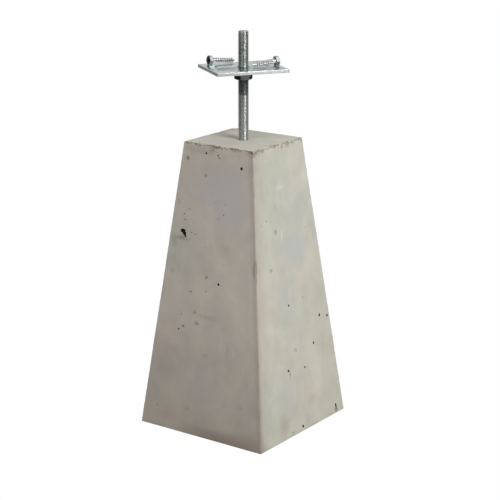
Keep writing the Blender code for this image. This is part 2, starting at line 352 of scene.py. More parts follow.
def threaded_bar_tree():
    """A right-hand threaded bar up +Z, whose rows of points follow the thread.

    Past each end the rows run in to the axis and close the bar. The end radius is what an end
    chamfer comes down to, and a point narrows the bar over its length to the tip radius.
    """
    sizes = [
        "Length", "Pitch", "Crest Radius", "Root Radius", "End Radius", "Plain Length",
        "Point Length", "Tip Radius",
    ]
    inputs = [(name, FLOAT) for name in sizes]
    inputs += [("Sides", INT), ("Rows", INT), ("Material", MATERIAL)]
    tree, given, output = geometry_tree("threaded bar", inputs)
    length, pitch, crest = given["Length"], given["Pitch"], given["Crest Radius"]
    per_turn = given["Rows"]
    row_count = ((length / pitch).math("CEIL") + 3) * per_turn + 1
    columns = given["Sides"] + 1
    sheet = add_node(
        tree, "GeometryNodeMeshGrid", {0: 1.0, 1: 1.0, 2: columns, 3: row_count}
    )
    across, up, _ = position(tree).split()
    around = across + 0.5
    row = ((up + 0.5) * (row_count - 1)).math("ROUND")
    climb = (row / per_turn + around - 2) * pitch
    from_crest = abs(((row + 0.5) / per_turn).math("FRACT") - 0.5) * 2
    thread = from_crest.ramp(0.0, 1.0, crest, given["Root Radius"], True)
    threaded = climb.ramp(given["Plain Length"], given["Plain Length"] + pitch)
    bar = thread * threaded + crest * (1 - threaded)
    room = climb.at_most(length - climb).at_least(0.0)
    bar = bar.at_most(given["End Radius"] + room)
    point = given["Point Length"].at_least(0.01 * MM)
    left = ((length - climb) / point).math("ADD", 0.0, clamp=True)
    bar = given["Tip Radius"] + (bar - given["Tip Radius"]) * left
    beyond = (-climb).at_least(climb - length).at_least(0.0)
    radius = bar * (1 - beyond / pitch).at_least(0.0)
    turn = around * (2 * math.pi)
    place = vector(
        tree,
        radius * turn.math("COSINE"),
        radius * turn.math("SINE"),
        climb.at_least(0.0).at_most(length),
    )
    values = {0: moved(tree, sheet, place), "Distance": WELD_DISTANCE}
    closed = add_node(tree, "GeometryNodeMergeByDistance", values)
    finish_tree(tree, closed, given["Material"], output)
    return tree


def cast_block_tree():
    """The battered block on a grid, with round arrises and the slight unevenness of a casting."""
    sizes = ("Base", "Top", "Height", "Arris", "Foot", "Unevenness")
    inputs = [(name, FLOAT) for name in sizes]
    inputs += [("Columns", INT), ("Rows", INT), ("Material", MATERIAL)]
    tree, given, output = geometry_tree("cast block", inputs)
    columns, rows = given["Columns"], given["Rows"]
    sheet = add_node(
        tree, "GeometryNodeMeshCube", {0: (2, 2, 2), 1: columns + 1, 2: columns + 1, 3: rows + 1}
    )
    x, y, z = position(tree).split()
    side_zone = 2 * ARRIS_STEPS / columns
    top_zone = ARRIS_STEPS / rows
    foot_zone = FOOT_STEPS / rows
    up = (z + 1) * 0.5

    def bend(share):
        """Spaces the rows of a rounding evenly round its quarter circle."""
        return (share * (math.pi / 4)).math("TANGENT")

    out_x = bend(abs(x).ramp(1 - side_zone, 1.0)) * x.math("SIGN")
    out_y = bend(abs(y).ramp(1 - side_zone, 1.0)) * y.math("SIGN")
    out_top = bend(up.ramp(1 - top_zone, 1.0))
    out_foot = bend(up.ramp(0.0, foot_zone, 1.0, 0.0))
    out_z = out_top - out_foot
    length = (out_x * out_x + out_y * out_y + out_z * out_z).math("SQRT")
    arris, foot = given["Arris"], given["Foot"]
    level = up.ramp(foot_zone, 1 - top_zone, foot, given["Height"] - arris)
    half = given["Base"] * 0.5 + (given["Top"] - given["Base"]) * 0.5 * level / given["Height"]
    inner = half - arris
    place = vector(
        tree,
        x / (1 - side_zone).at_least(0.1),
        y / (1 - side_zone).at_least(0.1),
        z,
    )
    in_x, in_y, _ = place.split()
    in_x = in_x.at_most(1.0).at_least(-1.0) * inner
    in_y = in_y.at_most(1.0).at_least(-1.0) * inner
    rough = vector(tree, in_x, in_y, level)
    wave = noise(tree, rough, 9.0, 2.0) + noise(tree, rough, 60.0, 3.0) * 0.35
    near_arris = abs(out_x) * abs(out_y) + abs(out_x) * out_top + abs(out_y) * out_top
    near_arris = near_arris.at_most(1.0)
    nick = noise(tree, rough, 110.0, 3.0, 0.6).ramp(0.52, 0.75, 0.0, 1.0)
    sunk = given["Unevenness"] * (wave.ramp(0.35, 1.0) + near_arris * nick * 2.5)
    round_z = foot * out_foot.math("SIGN") + arris * out_top.math("SIGN")
    place = vector(
        tree,
        in_x + out_x / length * (arris - sunk),
        in_y + out_y / length * (arris - sunk),
        level + out_z / length * (round_z - sunk * out_top.math("SIGN")),
    )
    finish_tree(tree, moved(tree, sheet, place), given["Material"], output)
    return tree


def void_tree():
    """A ragged hollow's solid on every point of a mesh, with the point's size and turn."""
    inputs = [("Raggedness", FLOAT), ("Fineness", INT), ("Material", MATERIAL)]
    tree, given, output = geometry_tree("casting voids", inputs)
    egg = add_node(
        tree, "GeometryNodeMeshIcoSphere", {"Radius": 1.0, "Subdivisions": given["Fineness"]}
    )

    def stored(name):
        node = add_node(
            tree, "GeometryNodeInputNamedAttribute", {"Name": name}, data_type="FLOAT_VECTOR"
        )
        return wire(tree, node)

    eggs = add_node(
        tree,
        "GeometryNodeInstanceOnPoints",
        {
            "Points": given["Geometry"],
            "Instance": egg,
            "Rotation": stored("turn"),
            "Scale": stored("size"),
        },
    )
    real = add_node(tree, "GeometryNodeRealizeInstances", {0: eggs})
    here = position(tree)
    normal = wire(tree, add_node(tree, "GeometryNodeInputNormal"))
    swell = (noise(tree, here, 330.0, 2.0) - 0.5) * given["Raggedness"]
    values = {"Geometry": real, "Offset": normal.multiplied(swell)}
    ragged = add_node(tree, "GeometryNodeSetPosition", values)
    joined = add_node(
        tree,
        "GeometryNodeMeshBoolean",
        {"Mesh 2": ragged, "Self Intersection": True},
        operation="UNION",
        solver="EXACT",
    )
    finish_tree(tree, joined, given["Material"], output)
    return tree


# Voids and chips by face: share of the half width across, share of the height up, then width,
# height and depth in millimetres. Across runs to the right as one looks at the face.
OPEN_VOIDS = {
    "front": (
        (-0.695, 0.698, 9.5, 6.5, 4.5),
        (-0.655, 0.690, 6.5, 6.5, 4.5),
        (-0.628, 0.681, 3.5, 3.0, 2.0),
        (0.674, 0.938, 4.0, 4.8, 3.5),
        (0.195, 0.540, 3.8, 3.8, 3.0),
        (-0.544, 0.359, 3.0, 3.0, 1.8),
        (-0.315, 0.971, 3.2, 3.0, 1.8),
        (0.020, 0.969, 2.2, 2.2, 1.5),
        (0.053, 0.961, 2.0, 2.4, 1.5),
        (-0.402, 0.694, 2.0, 2.0, 1.5),
        (-0.490, 0.698, 2.0, 1.8, 1.2),
        (-0.715, 0.757, 1.8, 1.8, 1.2),
        (-0.684, 0.737, 1.8, 1.8, 1.2),
        (0.116, 0.760, 1.4, 1.4, 0.9),
        (0.273, 0.811, 1.4, 1.4, 0.9),
        (-0.372, 0.496, 2.2, 2.0, 1.0),
        (-0.463, 0.372, 2.2, 1.8, 1.0),
        (-0.516, 0.413, 1.6, 1.6, 0.9),
    ),
    "right": (
        (-0.114, 0.452, 3.8, 3.4, 2.6),
        (0.710, 0.374, 4.4, 4.6, 2.8),
        (0.925, 0.361, 4.2, 4.2, 2.4),
        (0.460, 0.287, 3.4, 4.4, 2.6),
        (0.166, 0.218, 3.6, 3.4, 2.4),
        (-0.250, 0.232, 4.4, 4.0, 2.8),
        (-0.215, 0.217, 2.2, 2.6, 1.4),
        (-0.007, 0.018, 4.6, 4.6, 3.0),
        (-0.251, 0.015, 2.4, 2.4, 1.4),
        (0.815, 0.030, 4.0, 5.6, 3.4),
    ),
}
FILLED_VOIDS = {
    "front": (
        (-0.813, 0.945, 5.0, 6.0, 1.2),
        (-0.568, 0.993, 5.0, 4.0, 1.0),
        (-0.287, 0.896, 5.5, 7.0, 0.6),
        (-0.603, 0.776, 4.0, 4.0, 0.4),
        (-0.071, 0.555, 4.5, 4.5, 0.5),
        (-0.633, 0.522, 3.5, 3.5, 0.4),
        (-0.262, 0.427, 4.5, 5.0, 0.5),
        (-0.152, 0.423, 3.0, 3.0, 0.4),
        (-0.204, 0.391, 5.0, 5.0, 0.6),
        (-0.770, 0.072, 4.0, 5.0, 0.5),
    ),
    "right": (
        (-0.343, 0.714, 4.0, 11.0, 0.6),
        (-0.017, 0.290, 4.0, 5.0, 0.5),
        (-0.620, 0.760, 4.0, 6.0, 0.4),
        (-0.549, 0.593, 4.0, 4.0, 0.5),
    ),
}
BROKEN_EDGES = {
    "front": (
        (-0.159, 0.997, 9.0, 5.0, 2.0),
        (0.030, 0.999, 6.0, 4.0, 1.5),
        (0.905, 0.993, 10.0, 6.5, 2.2),
        (0.790, 0.999, 7.0, 4.0, 1.5),
    ),
    "right": (
        (-0.657, 0.999, 5.0, 4.0, 1.6),
        (-0.840, 0.997, 5.0, 5.0, 1.8),
        (0.130, 0.987, 4.0, 5.0, 1.6),
        (0.372, 0.994, 8.0, 7.0, 2.4),
        (0.912, 0.999, 7.0, 6.0, 2.4),
        (0.985, 0.799, 5.0, 9.0, 2.0),
        (0.985, 0.223, 5.0, 9.0, 2.0),
        (0.807, 0.014, 8.5, 10.0, 4.0),
    ),
    "back": (
        (-0.300, 0.999, 8.0, 5.0, 2.0),
        (0.450, 0.998, 6.0, 5.0, 2.0),
        (0.550, 0.000, 15.0, 7.0, 3.6),
    ),
    "left": (
        (-0.350, 0.999, 11.0, 6.0, 2.6),
        (0.620, 0.999, 6.0, 4.0, 1.8),
        (-0.700, 0.000, 9.0, 5.0, 3.0),
    ),
}
# Worn stretches of the arris between front and right: share of the height up, then width, height
# and depth in millimetres
WORN_CORNER = (
    (0.622, 7.0, 16.0, 2.8),
    (0.603, 6.0, 12.0, 2.2),
    (0.578, 6.0, 9.0, 2.0),
    (0.300, 5.0, 12.0, 1.3),
    (0.860, 5.0, 10.0, 1.3),
)
# Width, height and depth in millimetres of the break in the top's far corner
BROKEN_BACK_CORNER = (12.0, 12.0, 7.0)
FACES = ("front", "right", "back", "left")
SCATTER_SEED = 11
# Count of scattered air voids by face, and their least and greatest width in millimetres
SCATTERED_VOIDS = {"front": 5, "right": 4, "back": 34, "left": 34}
SCATTERED_WIDTHS = (0.9, 2.6)
# Small bites out of each top arris, their least and greatest width in millimetres, and the share
# of the half width that they keep to
CRUMBS_PER_EDGE = 26
CRUMB_WIDTHS = (1.6, 3.6)
CRUMB_SPAN = 0.96
# How ragged each kind of hollow is, how finely it is divided, and its finish
HOLLOW_KINDS = {
    "voids": (0.9 * MM, 4, "concrete_void_shade"),
    "pores": (0.3 * MM, 3, "concrete_void_shade"),
    "filled": (0.4 * MM, 4, "concrete_filled"),
    "chips": (1.6 * MM, 3, "concrete_chip"),
}


# Soft stains by face: share of the half width across, share of the height up, width and height in
# millimetres, colour and strength
STAINS = {
    "front": (
        (0.34, 0.812, 110, 120, "violet", 0.6),
        (-0.01, 0.861, 110, 90, "violet", 0.5),
        (-0.315, 0.847, 60, 50, "violet", 0.35),
        (0.366, 0.912, 80, 60, "violet", 0.45),
        (-0.084, 0.181, 90, 80, "blue", 0.5),
        (-0.219, 0.241, 60, 40, "blue", 0.35),
        (-0.521, 0.842, 26, 26, "warm", 0.35),
        (0.307, 0.661, 44, 24, "olive", 0.15),
        (-0.70, 0.674, 28, 11, "brown", 0.65),
        (-0.555, 0.670, 12, 8, "brown", 0.3),
        (-0.87, 0.662, 18, 34, "brown", 0.35),
        (-0.16, 0.655, 9, 8, "grey", 0.26),
        (-0.078, 0.555, 10, 9, "grey", 0.38),
        (-0.391, 0.496, 9, 9, "grey", 0.30),
        (-0.889, 0.792, 11, 13, "grey", 0.30),
        (0.038, 0.815, 7, 9, "grey", 0.22),
        (-0.829, 0.556, 11, 15, "olive", 0.45),
        (-0.529, 0.415, 6, 13, "grey", 0.30),
        (-0.269, 0.427, 11, 11, "grey", 0.38),
        (0.019, 0.419, 54, 13, "olive", 0.4),
        (-0.200, 0.391, 13, 9, "grey", 0.45),
        (-0.461, 0.372, 13, 8, "grey", 0.41),
        (0.008, 0.287, 20, 11, "grey", 0.26),
        (0.415, 0.319, 9, 44, "grey", 0.21),
        (0.280, 0.334, 9, 28, "pale", 0.3),
        (0.528, 0.317, 9, 24, "pale", 0.3),
        (0.664, 0.140, 13, 9, "grey", 0.30),
        (-0.244, 0.091, 18, 11, "brown", 0.22),
        (-0.557, 0.048, 70, 26, "pink", 0.35),
        (0.003, 0.008, 130, 44, "brown", 0.5),
        (0.422, 0.006, 130, 48, "brown", 0.65),
        (0.850, 0.010, 110, 66, "brown", 0.55),
        (-0.363, 0.978, 70, 16, "pink", 0.45),
        (-0.800, 0.978, 34, 14, "pink", 0.35),
        (-0.813, 0.945, 10, 9, "grey", 0.45),
        (0.955, 0.612, 8, 44, "brown", 0.6),
        (-0.160, 0.986, 14, 12, "stain", 0.8),
        (0.930, 0.988, 22, 11, "stain", 0.9),
    ),
    "right": (
        (0.387, 0.781, 90, 80, "blue", 0.35),
        (0.289, 0.628, 90, 70, "blue", 0.65),
        (0.016, 0.650, 80, 70, "blue", 0.5),
        (-0.205, 0.477, 60, 90, "blue", 0.45),
        (-0.380, 0.157, 60, 90, "blue", 0.4),
        (-0.285, 0.098, 20, 44, "violet", 0.6),
        (0.265, 0.099, 30, 24, "pink", 0.4),
        (-0.450, 0.052, 38, 50, "rust", 0.42),
        (0.122, 0.037, 24, 24, "pink", 0.4),
        (0.800, 0.570, 44, 70, "warm", 0.35),
        (0.459, 0.514, 60, 70, "warm", 0.35),
        (-0.077, 0.858, 36, 12, "pale", 0.4),
        (0.809, 0.873, 26, 26, "pale", 0.35),
        (-0.288, 0.797, 9, 13, "grey", 0.26),
        (-0.330, 0.713, 12, 10, "grey", 0.41),
        (-0.155, 0.694, 6, 20, "pale", 0.6),
        (-0.550, 0.592, 13, 10, "grey", 0.38),
        (-0.044, 0.293, 11, 9, "grey", 0.38),
        (-0.225, 0.213, 8, 14, "grey", 0.30),
        (-0.739, 0.860, 16, 120, "pink", 0.25),
        (-0.880, 0.988, 24, 11, "stain", 0.9),
        (-0.640, 0.992, 16, 10, "stain", 0.8),
        (0.130, 0.990, 12, 9, "stain", 0.5),
        (0.372, 0.988, 22, 12, "stain", 0.9),
        (0.600, 0.990, 14, 8, "stain", 0.5),
        (0.930, 0.990, 12, 9, "stain", 0.6),
    ),
    "back": (
        (-0.4, 0.70, 80, 90, "violet", 0.5),
        (0.3, 0.35, 90, 80, "violet", 0.4),
        (0.5, 0.82, 12, 10, "grey", 0.38),
        (-0.2, 0.52, 10, 12, "grey", 0.38),
        (0.1, 0.03, 110, 26, "brown", 0.4),
        (-0.5, 0.988, 20, 12, "stain", 0.7),
        (0.3, 0.988, 16, 12, "stain", 0.7),
    ),
    "left": (
        (0.3, 0.75, 80, 80, "violet", 0.5),
        (-0.3, 0.30, 80, 90, "violet", 0.4),
        (-0.5, 0.62, 12, 10, "grey", 0.38),
        (0.4, 0.47, 10, 12, "grey", 0.38),
        (-0.2, 0.03, 100, 26, "brown", 0.4),
        (-0.35, 0.988, 20, 12, "stain", 0.7),
        (0.55, 0.988, 16, 12, "stain", 0.7),
    ),
}
# How deep a stain reaches behind its face, and how far its outline wanders
STAIN_THROUGH = 24 * MM
STAIN_WARP = 7 * MM


def half_width(height):
    """Half the block's width at a height."""
    return (BLOCK_BASE + (BLOCK_TOP - BLOCK_BASE) * height / BLOCK_HEIGHT) / 2


def face_place(face, across, up):
    """The matrix of a point on a side face: X across it, Y into it and Z up it."""
    half = half_width(up * BLOCK_HEIGHT)
    batter = math.atan((BLOCK_BASE - BLOCK_TOP) / 2 / BLOCK_HEIGHT)
    at = Matrix.Translation((across * half, -half, up * BLOCK_HEIGHT))
    turn = Matrix.Rotation(FACES.index(face) * math.pi / 2, 4, "Z")
    return turn @ at @ Matrix.Rotation(-batter, 4, "X")


def corner_place(up):
    """The matrix of a point on the arris between front and right, with Y in along the diagonal."""
    half = half_width(up * BLOCK_HEIGHT)
    lean = math.atan((BLOCK_BASE - BLOCK_TOP) / 2 * math.sqrt(2) / BLOCK_HEIGHT)
    at = Matrix.Translation((half, -half, up * BLOCK_HEIGHT))
    return at @ Matrix.Rotation(math.radians(45), 4, "Z") @ Matrix.Rotation(-lean, 4, "X")


def points_mesh(name, hollows):
    """A mesh of loose points, each with the size and turn of the hollow that goes there."""
    mesh = bpy.data.meshes.new(name)
    mesh.from_pydata([place.translation for place, _ in hollows], [], [])
    size = mesh.attributes.new("size", "FLOAT_VECTOR", "POINT")
    turn = mesh.attributes.new("turn", "FLOAT_VECTOR", "POINT")
    for index, (place, (width, height, depth)) in enumerate(hollows):
        size.data[index].vector = Vector((width / 2, depth, height / 2)) * MM
        turn.data[index].vector = place.to_euler()
    return mesh


def listed(table):
    """The places and sizes of a table of hollows."""
    return [
        (face_place(face, across, up), size)
        for face, rows in table.items()
        for across, up, *size in rows
    ]


def spread(rng, count_by_face, low, high):
    """Small air voids scattered over the faces."""
    hollows = []
    for face, count in count_by_face.items():
        for _ in range(count):
            width = rng.uniform(low, high)
            size = (width, width * rng.uniform(0.8, 1.4), width * rng.uniform(0.4, 0.7))
            place = face_place(face, rng.uniform(-0.93, 0.93), rng.uniform(0.03, 0.97))
            hollows.append((place, size))
    return hollows


def crumbs(rng, count):
    """Small bites out of the top arrises."""
    hollows = []
    for face in FACES:
        for step in range(count):
            across = -CRUMB_SPAN + 2 * CRUMB_SPAN * (step + rng.uniform(0.1, 0.9)) / count
            width = rng.uniform(*CRUMB_WIDTHS)
            size = (width * rng.uniform(1.0, 1.7), width, width * rng.uniform(0.35, 0.7))
            hollows.append((face_place(face, across, rng.uniform(0.992, 1.0)), size))
    return hollows


def socket_mesh(finish):
    """The round hole that the rod stands in."""
    bm = bmesh.new()
    bmesh.ops.create_cone(
        bm,
        cap_ends=True,
        segments=SOCKET_SIDES,
        radius1=ROD_DIAMETER / 2 + GAP,
        radius2=ROD_DIAMETER / 2 + GAP,
        depth=SOCKET_LENGTH,
        matrix=Matrix.Translation((0, 0, ROD_FOOT - GAP + SOCKET_LENGTH / 2)),
    )
    mesh = bpy.data.meshes.new("rod_socket")
    bm.to_mesh(mesh)
    bm.free()
    mesh.materials.append(finish)
    return mesh


def combine(made, others, operation):
    """Cuts other pieces out of a piece or joins them to it, and removes them."""
    for other in others:
        step = made.modifiers.new(other.name, "BOOLEAN")
        step.operation = operation
        step.solver = "EXACT"
        step.material_mode = "TRANSFER"
        step.object = other
    settled(made)
    for other in others:
        bpy.data.objects.remove(other)


def concrete_block(finishes):
    """The cast block, with its voids, broken edges and the rod's socket."""
    block = tree_piece(
        "cast_block",
        cast_block_tree(),
        {
            "Base": BLOCK_BASE,
            "Top": BLOCK_TOP,
            "Height": BLOCK_HEIGHT,
            "Arris": ARRIS_RADIUS,
            "Foot": FOOT_RADIUS,
            "Unevenness": UNEVENNESS,
            "Columns": BLOCK_COLUMNS,
            "Rows": BLOCK_ROWS,
            "Material": finishes["concrete"],
        },
    )
    rng = random.Random(SCATTER_SEED)
    pores = spread(rng, SCATTERED_VOIDS, *SCATTERED_WIDTHS)
    chips = listed(BROKEN_EDGES) + crumbs(rng, CRUMBS_PER_EDGE)
    chips += [(corner_place(up), size) for up, *size in WORN_CORNER]
    back = Matrix.Translation((-BLOCK_TOP / 2, BLOCK_TOP / 2, BLOCK_HEIGHT))
    chips.append((back @ Matrix.Rotation(math.radians(45), 4, "Z"), BROKEN_BACK_CORNER))
    tree = void_tree()
    cutters = [link("socket", socket_mesh(finishes["concrete"]))]
    hollows = {
        "voids": listed(OPEN_VOIDS),
        "pores": pores,
        "filled": listed(FILLED_VOIDS),
        "chips": chips,
    }
    for name, (ragged, fineness, finish) in HOLLOW_KINDS.items():
        values = {"Raggedness": ragged, "Fineness": fineness, "Material": finishes[finish]}
        cutters.append(tree_piece(name, tree, values, points_mesh(name, hollows[name])))
    combine(block, cutters, "DIFFERENCE")
    smooth(block, BLOCK_SHARP)
    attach(block, "block")
    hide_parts("concrete_block")


def ring_skin(name, columns, rows_at, closed, finish):
    """A skin round Z. rows_at(angle) gives one column of (radius, height) points.

    The rows either close on themselves, or start and end on the axis.
    """
    bm = bmesh.new()
    skin = []
    for column in range(columns):
        angle = 2 * math.pi * column / columns
        skin.append([
            bm.verts.new((radius * math.cos(angle), radius * math.sin(angle), height))
            for radius, height in rows_at(angle)
        ])
    count = len(skin[0])
    for column, points in enumerate(skin):
        after = skin[(column + 1) % columns]
        for row in range(count if closed else count - 1):
            up = (row + 1) % count
            bm.faces.new((points[row], after[row], after[up], points[up]))
    bmesh.ops.remove_doubles(bm, verts=bm.verts, dist=WELD_DISTANCE)
    bmesh.ops.recalc_face_normals(bm, faces=bm.faces)
    mesh = bpy.data.meshes.new(name)
    bm.to_mesh(mesh)
    bm.free()
    mesh.materials.append(finish)
    return link(name, mesh)


def hexagon_radius(angle, across_flats):
    """How far a hexagon's side is from its middle, with a flat facing angle 0."""
    from_flat = (angle + math.pi / 6) % (math.pi / 3) - math.pi / 6
    return across_flats / 2 / math.cos(from_flat)


def levelling_nut(finish):
    """The hexagon nut under the plate, with both faces chamfered round."""
    bore = ROD_DIAMETER / 2 + GAP
    mouth = bore + NUT_COUNTERSINK
    face = CHAMFER_FACE_SHARE * NUT_ACROSS_FLATS / 2

    def rows_at(angle):
        side = hexagon_radius(angle, NUT_ACROSS_FLATS)
        rise = (side - face) * CHAMFER_SLOPE
        return [
            (bore, NUT_COUNTERSINK),
            (mouth, 0),
            (face, 0),
            (side, rise),
            (side, NUT_HEIGHT - rise),
            (face, NUT_HEIGHT),
            (mouth, NUT_HEIGHT),
            (bore, NUT_HEIGHT - NUT_COUNTERSINK),
        ]

    nut = ring_skin("nut", NUT_COLUMNS, rows_at, True, finish)
    placed(nut, Matrix.Translation((0, 0, NUT_FOOT)) @ Matrix.Rotation(NUT_TURN, 4, "Z"))
    smooth(nut, NUT_SHARP)
    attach(nut, "plate")
    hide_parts("levelling_nut")


def shade_grooves(made, groove, top, finish):
    """Gives a thread's faces below a height and nearer its axis than a radius a painted-shade
    finish.
    """
    made.data.materials.append(finish)
    for polygon in made.data.polygons:
        if polygon.center.xy.length < groove and polygon.center.z < top:
            polygon.material_index = len(made.data.materials) - 1


def threaded_rod(tree, finish, groove_shade):
    """The rod, threaded from end to end."""
    rod = tree_piece(
        "rod",
        tree,
        {
            "Length": ROD_TOP - ROD_FOOT,
            "Pitch": ROD_PITCH,
            "Crest Radius": ROD_DIAMETER / 2,
            "Root Radius": ROD_ROOT / 2,
            "End Radius": ROD_ROOT / 2,
            "Plain Length": -2 * ROD_PITCH,
            "Point Length": 0.0,
            "Tip Radius": 0.0,
            "Sides": ROD_SIDES,
            "Rows": ROD_ROWS_PER_TURN,
            "Material": finish,
        },
    )
    full_thread = ROD_TOP - ROD_FOOT - ROD_END_CHAMFER
    # Painted shade in the thread's grooves
    shade_grooves(rod, ROD_ROOT / 2 + ROD_GROOVE_MARGIN, full_thread, groove_shade)
    placed(rod, Matrix.Translation((0, 0, ROD_FOOT)))
    smooth(rod, ROD_SHARP)
    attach(rod, "block")
    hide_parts("threaded_rod")


def plate_outline():
    """The plate's rectangle, with its corners rounded off."""
    corner = PLATE_CORNER_RADIUS
    points = []
    for quarter in range(4):
        x = (1, -1, -1, 1)[quarter] * (PLATE_LENGTH / 2 - corner)
        y = (1, 1, -1, -1)[quarter] * (PLATE_WIDTH / 2 - corner)
        for step in range(PLATE_CORNER_STEPS + 1):
            angle = math.radians(90 * (quarter + step / PLATE_CORNER_STEPS))
            points.append((x + corner * math.cos(angle), y + corner * math.sin(angle)))
    return points


def hole_outline(along, radius):
    """A round hole on the plate's length, its points in turn against the outline's."""
    angles = [math.radians(360 * step / HOLE_SIDES) for step in range(HOLE_SIDES)]
    points = [(along + radius * math.cos(angle), radius * math.sin(angle)) for angle in angles]
    return points[::-1]


def bearing_plate(finish, edge_finish):
    """The flat plate, with the rod's hole in its middle and a screw hole near each end."""
    curve = bpy.data.curves.new("plate", "CURVE")
    curve.dimensions = "2D"
    curve.fill_mode = "BOTH"
    curve.extrude = PLATE_THICKNESS / 2 - PLATE_EDGE_RADIUS
    curve.bevel_depth = PLATE_EDGE_RADIUS
    curve.bevel_resolution = PLATE_EDGE_STEPS
    curve.offset = -PLATE_EDGE_RADIUS
    outlines = [plate_outline()]
    for along, width in (
        (0, ROD_HOLE),
        (-SCREW_HOLE_ALONG, SCREW_HOLE),
        (SCREW_HOLE_ALONG, SCREW_HOLE),
    ):
        outlines.append(hole_outline(along, width / 2))
    for points in outlines:
        spline = curve.splines.new("POLY")
        spline.points.add(len(points) - 1)
        spline.use_cyclic_u = True
        for point, (x, y) in zip(spline.points, points):
            point.co = (x, y, 0, 1)
    curve.materials.append(finish)
    shape = bpy.data.objects.new("plate_shape", curve)
    bpy.context.scene.collection.objects.link(shape)
    plate = link("plate", settled_mesh(shape))
    bpy.data.objects.remove(shape)
    weld(plate)
    plate.data.materials.append(edge_finish)
    for polygon in plate.data.polygons:
        if abs(polygon.normal.z) < EDGE_SLOPE:
            polygon.material_index = 1
    middle = Matrix.Translation((0, 0, PLATE_FOOT + PLATE_THICKNESS / 2))
    placed(plate, middle @ Matrix.Rotation(PLATE_TURN, 4, "Z"))
    smooth(plate, PLATE_SHARP)
    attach(plate, "plate")
    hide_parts("bearing_plate")


def weld(made):
    """Joins points that lie on each other, and turns the faces outwards."""
    bm = bmesh.new()
    bm.from_mesh(made.data)
    bmesh.ops.remove_doubles(bm, verts=bm.verts, dist=WELD_DISTANCE)
    bmesh.ops.recalc_face_normals(bm, faces=bm.faces)
    bm.to_mesh(made.data)
    bm.free()


def lag_screw(tree, finish, groove_shade, head_shaded_copy, end_dark_reflection):
    """One lag screw up +Z, with its head's underside at 0 and two flats facing X."""
    screw = tree_piece(
        "lag_screw",
        tree,
        {
            "Length": SCREW_LENGTH + HEAD_HEIGHT / 2,
            "Pitch": SCREW_PITCH,
            "Crest Radius": SCREW_DIAMETER / 2,
            "Root Radius": SCREW_ROOT / 2,
            "End Radius": SCREW_DIAMETER / 2,
            "Plain Length": SCREW_PLAIN + HEAD_HEIGHT / 2,
            "Point Length": SCREW_POINT,
            "Tip Radius": SCREW_TIP,
            "Sides": SCREW_SIDES,
            "Rows": SCREW_ROWS_PER_TURN,
            "Material": finish,
        },
    )
    placed(screw, Matrix.Translation((0, 0, -HEAD_HEIGHT / 2)))
    face = CHAMFER_FACE_SHARE * HEAD_ACROSS_FLATS / 2

    def rows_at(angle):
        side = hexagon_radius(angle, HEAD_ACROSS_FLATS)
        rise = (side - face) * CHAMFER_SLOPE
        return [
            (0, -HEAD_HEIGHT),
            (face, -HEAD_HEIGHT),
            (side, rise - HEAD_HEIGHT),
            (side, 0),
            (0, 0),
        ]

    full_thread = SCREW_LENGTH - SCREW_POINT
    # Painted shade in the thread's grooves
    shade_grooves(screw, SCREW_ROOT / 2 + SCREW_GROOVE_MARGIN, full_thread, groove_shade)
    head = ring_skin("screw_head", HEAD_COLUMNS, rows_at, False, head_shaded_copy)
    # The head's end takes a near-black finish, a painted dark reflection
    head.data.materials.append(end_dark_reflection)
    for polygon in head.data.polygons:
        if polygon.normal.z < -END_SLOPE:
            polygon.material_index = 1
    combine(screw, [head], "UNION")
    mesh = screw.data
    bpy.data.objects.remove(screw)
    return mesh


def lay_screw(name, node, mesh, spot):
    """Lays a screw on the plate, resting on a flat of its head and on its last full crest."""
    along, across, turn = spot
    head_radius = HEAD_ACROSS_FLATS / 2
    tilt = math.atan((head_radius - SCREW_DIAMETER / 2) / (SCREW_LENGTH - SCREW_POINT))
    height = PLATE_FOOT + PLATE_THICKNESS + GAP + head_radius * math.cos(tilt)
    place = (
        Matrix.Rotation(PLATE_TURN, 4, "Z")
        @ Matrix.Translation((along, across, height))
        @ Matrix.Rotation(turn, 4, "Z")
        @ Matrix.Rotation(tilt + math.pi / 2, 4, "Y")
    )
    screw = placed(link(name, mesh.copy()), place)
    smooth(screw, SCREW_SHARP)
    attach(screw, "plate")
    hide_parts(node)


def shader_group(name, inputs, outputs):
    """An empty shader node group with named inputs and outputs."""
    tree = bpy.data.node_groups.new(name, "ShaderNodeTree")
    for socket_name, kind, value in inputs:
        socket = tree.interface.new_socket(socket_name, in_out="INPUT", socket_type=kind)
        socket.default_value = value
    for socket_name, kind in outputs:
        tree.interface.new_socket(socket_name, in_out="OUTPUT", socket_type=kind)
    source = add_node(tree, "NodeGroupInput")
    given = {socket.name: Wire(tree, socket) for socket in source.outputs if socket.name}
    return tree, given, add_node(tree, "NodeGroupOutput")


def group_node(tree, group, values):
    node = tree.nodes.new("ShaderNodeGroup")
    node.node_tree = group
    for name, value in values.items():
        feed(tree, node.inputs[name], value)
    return {socket.name: Wire(tree, socket) for socket in node.outputs}


def new_material(name):
    """A Principled material: its tree, its shader node and its Object coordinates."""
    made = bpy.data.materials.new(name)
    made.use_nodes = True
    tree = made.node_tree
    shader = tree.nodes["Principled BSDF"]
    place = wire(tree, add_node(tree, "ShaderNodeTexCoord"), 3)
    return made, tree, shader, place


CEMENT_WARM = rgb(0.56, 0.525, 0.46)
CEMENT_COOL = rgb(0.53, 0.53, 0.46)
FOOT_BROWN = rgb(0.30, 0.265, 0.215)
ARRIS_BROWN = rgb(0.31, 0.255, 0.22)
# Partly the front's own pinkish colour, partly painted warm fill light
FRONT_TINT_AND_FILL_LIGHT = rgb(0.965, 0.945, 0.965)
FLANK_TINT = rgb(0.885, 0.85, 0.85)
LOW_TINT = rgb(0.86, 0.835, 0.83)
# Painted shade on the half of the top away from the key light
TOP_SHADE_TINT = rgb(0.92, 0.915, 0.93)
# Share of each mask's colour where the mask is full. The front's foot has its own on top.
FOOT_SHARE = 0.05
FRONT_FOOT_SHARE = 0.16
CORNER_SHARE = 0.42
TOP_ARRIS_SHARE = 0.6
